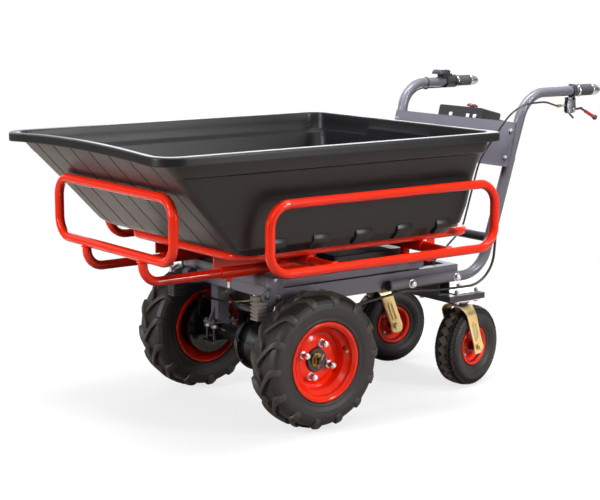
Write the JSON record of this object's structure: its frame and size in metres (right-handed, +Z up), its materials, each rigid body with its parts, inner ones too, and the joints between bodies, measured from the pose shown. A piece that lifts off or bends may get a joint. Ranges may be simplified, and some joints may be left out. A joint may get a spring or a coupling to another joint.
{
  "type": "electric platform trolley",
  "caption": "Battery-driven tipping trolley: driven front wheels, swivel castors, tube platform with sliding hoops, plastic tub, bent handles with brake, throttle and control box.",
  "frame": {"origin": "on the floor under the middle of the bounding box", "axes": "+X towards the tipping end, +Y to the operator's left, +Z up"},
  "size_m": [1.74, 0.91, 0.96],
  "materials": {
    "grey_coat": "satin powder coat",
    "dark_coat": "satin powder coat",
    "red_coat": "gloss powder coat",
    "black_coat": "satin paint",
    "black_metal": "satin",
    "tyre": "matte",
    "rubber": "matte",
    "black_plastic": "satin",
    "tub_plastic": "satin moulded",
    "pale_plastic": "satin",
    "blue_plastic": "gloss",
    "red_plastic": "gloss",
    "cast_alloy": "cast",
    "zinc": "bright zinc",
    "yellow_zinc": "yellow chromate"
  },
  "bodies": {
    "chassis": {"chassis_frame": "grey_coat", "axle_housing": "black_coat", "axle_fixings": "zinc", "drive_motor": "black_coat", "brake_linkage": "yellow_zinc", "battery_case": "black_plastic", "motor_controller": "cast_alloy", "rear_beam": "dark_coat", "end_caps": "black_plastic", "castor_plates": "zinc", "castor_seals": "blue_plastic", "frame_bolts": "zinc", "hinge_pins": "zinc", "handle_left": "grey_coat", "handle_right": "grey_coat", "handle_crossbar": "dark_coat", "dash_panel": "grey_coat", "control_box": "black_plastic", "control_lid": "pale_plastic", "dash_fittings": "black_plastic", "grip_left": "rubber", "grip_right": "rubber", "brake_clamp": "cast_alloy", "throttle_clamp": "black_plastic", "display_pod": "black_plastic", "brake_cable": "black_plastic", "motor_cable": "black_plastic", "throttle_cable": "black_plastic"},
    "drive_wheel_left": {"drive_tyre_left": "tyre", "drive_rim_left": "red_coat", "brake_drum_left": "black_coat", "half_shaft_left": "zinc", "wheel_nuts_left": "zinc"},
    "drive_wheel_right": {"drive_tyre_right": "tyre", "drive_rim_right": "red_coat", "brake_drum_right": "black_coat", "half_shaft_right": "zinc", "wheel_nuts_right": "zinc"},
    "castor_left": {"castor_fork_left": "yellow_zinc", "castor_bolt_left": "yellow_zinc"},
    "castor_right": {"castor_fork_right": "yellow_zinc", "castor_bolt_right": "yellow_zinc"},
    "castor_wheel_left": {"castor_tyre_left": "tyre", "castor_rim_left": "red_coat"},
    "castor_wheel_right": {"castor_tyre_right": "tyre", "castor_rim_right": "red_coat"},
    "tilt_platform": {"tilt_frame": "grey_coat", "frame_pads": "rubber", "platform_frame": "red_coat", "tub": "tub_plastic"},
    "front_hoop": {"front_hoop": "red_coat"},
    "side_hoop_left": {"side_hoop_left": "red_coat"},
    "side_hoop_right": {"side_hoop_right": "red_coat"},
    "clamp_screw_left": {"clamp_screw_left": "black_plastic"},
    "clamp_screw_right": {"clamp_screw_right": "black_plastic"},
    "brake_lever": {"brake_lever": "cast_alloy"},
    "parking_catch": {"parking_catch": "black_metal"},
    "thumb_lever": {"thumb_lever": "black_plastic"},
    "emergency_stop": {"emergency_stop": "red_plastic"},
    "ignition_key": {"ignition_key": "zinc"}
  },
  "joints": [
    {"name": "drive_spin_left", "type": "hinge", "parent": "chassis", "child": "drive_wheel_left", "pos_m": [0.281, 0.303, 0.2], "axis": [0, 1, 0], "continuous": true},
    {"name": "drive_spin_right", "type": "hinge", "parent": "chassis", "child": "drive_wheel_right", "pos_m": [0.281, -0.303, 0.2], "axis": [0, 1, 0], "continuous": true},
    {"name": "castor_swivel_left", "type": "hinge", "parent": "chassis", "child": "castor_left", "pos_m": [-0.354, 0.2, 0.26], "axis": [0, 0, 1], "continuous": true},
    {"name": "castor_swivel_right", "type": "hinge", "parent": "chassis", "child": "castor_right", "pos_m": [-0.354, -0.2, 0.26], "axis": [0, 0, 1], "continuous": true},
    {"name": "castor_spin_left", "type": "hinge", "parent": "castor_left", "child": "castor_wheel_left", "pos_m": [-0.40291, 0.1896, 0.128], "axis": [-0.2079, 0.9781, 0], "continuous": true},
    {"name": "castor_spin_right", "type": "hinge", "parent": "castor_right", "child": "castor_wheel_right", "pos_m": [-0.40363, -0.19391, 0.128], "axis": [0.1219, 0.9925, 0], "continuous": true},
    {"name": "tub_tilt", "type": "hinge", "parent": "chassis", "child": "tilt_platform", "pos_m": [0.364, 0, 0.375], "axis": [0, 1, 0], "range_deg": [0, 50]},
    {"name": "front_hoop_slide", "type": "slide", "parent": "tilt_platform", "child": "front_hoop", "axis": [1, 0, 0], "range_m": [0, 0.1]},
    {"name": "side_hoop_left_slide", "type": "slide", "parent": "tilt_platform", "child": "side_hoop_left", "axis": [0, 1, 0], "range_m": [0, 0.1]},
    {"name": "side_hoop_right_slide", "type": "slide", "parent": "tilt_platform", "child": "side_hoop_right", "axis": [0, -1, 0], "range_m": [0, 0.1]},
    {"name": "clamp_turn_left", "type": "hinge", "parent": "tilt_platform", "child": "clamp_screw_left", "pos_m": [0.473, 0.155, 0.42], "axis": [0, 0, 1], "range_deg": [0, 360]},
    {"name": "clamp_turn_right", "type": "hinge", "parent": "tilt_platform", "child": "clamp_screw_right", "pos_m": [0.473, -0.155, 0.42], "axis": [0, 0, 1], "range_deg": [0, 360]},
    {"name": "brake_pull", "type": "hinge", "parent": "chassis", "child": "brake_lever", "pos_m": [-0.748, 0.285, 0.858], "axis": [0, 1, 0], "range_deg": [0, 22], "stiffness_Nm_per_rad": 2, "springref_deg": -11.46},
    {"name": "parking_turn", "type": "hinge", "parent": "chassis", "child": "parking_catch", "pos_m": [-0.729, 0.285, 0.853], "axis": [0, -1, 0], "range_deg": [0, 30]},
    {"name": "throttle_turn", "type": "hinge", "parent": "chassis", "child": "thumb_lever", "pos_m": [-0.755, -0.285, 0.918], "axis": [-1, 0, 0], "range_deg": [0, 30], "stiffness_Nm_per_rad": 0.4, "springref_deg": -17.19},
    {"name": "stop_press", "type": "slide", "parent": "chassis", "child": "emergency_stop", "axis": [0.2512, 0, -0.9679], "range_m": [0, 0.005]},
    {"name": "key_turn", "type": "hinge", "parent": "chassis", "child": "ignition_key", "pos_m": [-0.52005, 0.205, 0.81801], "axis": [0.9679, 0, 0.2512], "range_deg": [0, 90]}
  ]
}
